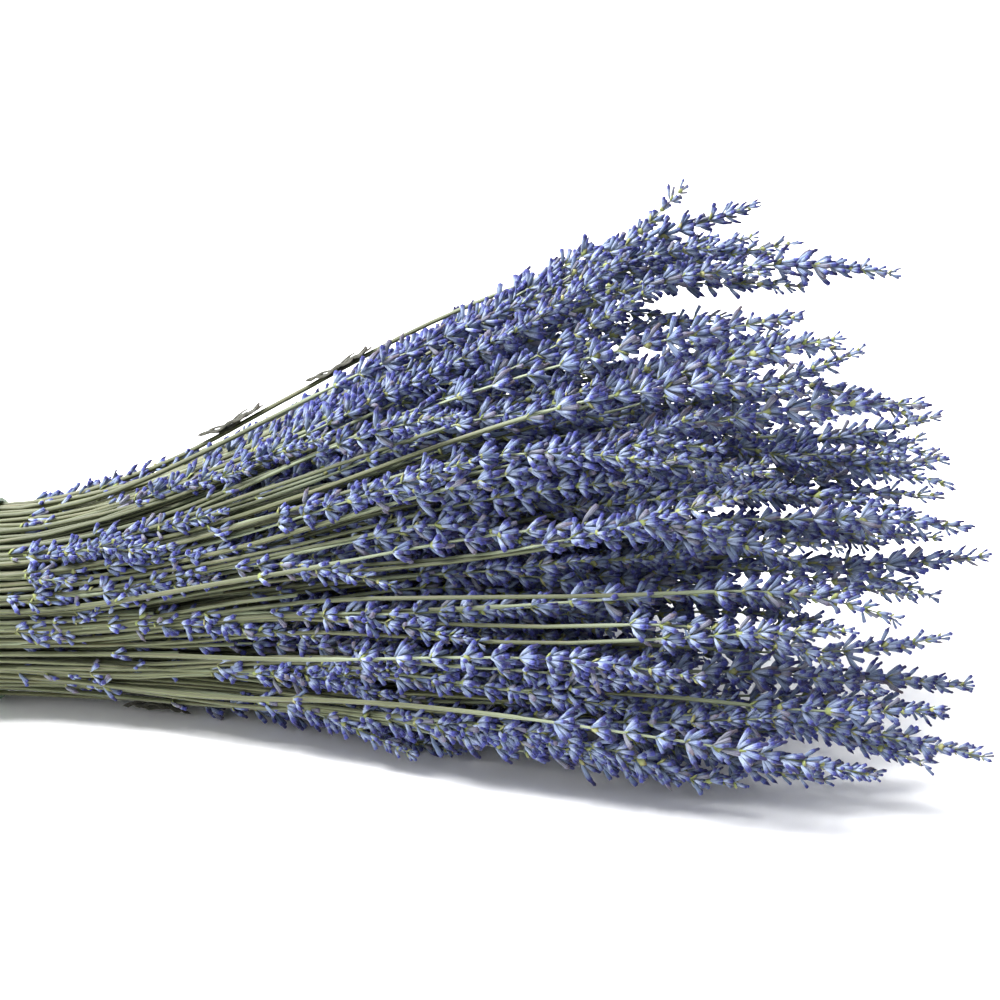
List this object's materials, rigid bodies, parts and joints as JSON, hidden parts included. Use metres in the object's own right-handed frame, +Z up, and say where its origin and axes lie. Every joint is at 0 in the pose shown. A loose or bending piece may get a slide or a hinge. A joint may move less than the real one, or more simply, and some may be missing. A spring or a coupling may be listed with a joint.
{
  "type": "bunch of dried lavender",
  "caption": "Bunch of dried lavender sprigs lying on its side, held by an elastic band, stems fanning out into whorled flower spikes",
  "frame": {"origin": "on the ground under the middle of the bunch's bounding box", "axes": "+X from the cut stem ends to the flower heads, +Y to the bunch's left, +Z up from the surface it lies on"},
  "size_m": [0.4596, 0.241, 0.1792],
  "materials": {
    "dried_flower": "matte",
    "dried_stem": "matte",
    "dried_leaf": "matte",
    "elastic_band": "satin"
  },
  "bodies": {
    "root": {"sprig_01": "dried_flower", "sprig_02": "dried_flower", "sprig_03": "dried_flower", "sprig_04": "dried_flower", "sprig_05": "dried_flower", "sprig_06": "dried_flower", "sprig_07": "dried_flower", "sprig_08": "dried_flower", "sprig_09": "dried_flower", "sprig_10": "dried_flower", "sprig_11": "dried_flower", "sprig_12": "dried_flower", "sprig_13": "dried_flower", "sprig_14": "dried_flower", "sprig_15": "dried_flower", "sprig_16": "dried_flower", "sprig_17": "dried_flower", "sprig_18": "dried_flower", "sprig_19": "dried_flower", "sprig_20": "dried_flower", "sprig_21": "dried_flower", "sprig_22": "dried_flower", "sprig_23": "dried_flower", "sprig_24": "dried_flower", "sprig_25": "dried_flower", "sprig_26": "dried_flower", "sprig_27": "dried_flower", "sprig_28": "dried_flower", "sprig_29": "dried_flower", "sprig_30": "dried_flower", "sprig_31": "dried_flower", "sprig_32": "dried_flower", "sprig_33": "dried_flower", "sprig_34": "dried_flower", "sprig_35": "dried_flower", "sprig_36": "dried_flower", "sprig_37": "dried_flower", "sprig_38": "dried_flower", "sprig_39": "dried_flower", "sprig_40": "dried_flower", "sprig_41": "dried_flower", "sprig_42": "dried_flower", "sprig_43": "dried_flower", "sprig_44": "dried_flower", "sprig_45": "dried_flower", "sprig_46": "dried_flower", "sprig_47": "dried_flower", "sprig_48": "dried_flower", "sprig_49": "dried_flower", "sprig_50": "dried_flower", "sprig_51": "dried_flower", "sprig_52": "dried_flower", "sprig_53": "dried_flower", "sprig_54": "dried_flower", "sprig_55": "dried_flower", "sprig_56": "dried_flower", "tie_band": "elastic_band", "dried_leaf_1": "dried_leaf", "dried_leaf_2": "dried_leaf", "dried_leaf_3": "dried_leaf"}
  },
  "joints": []
}
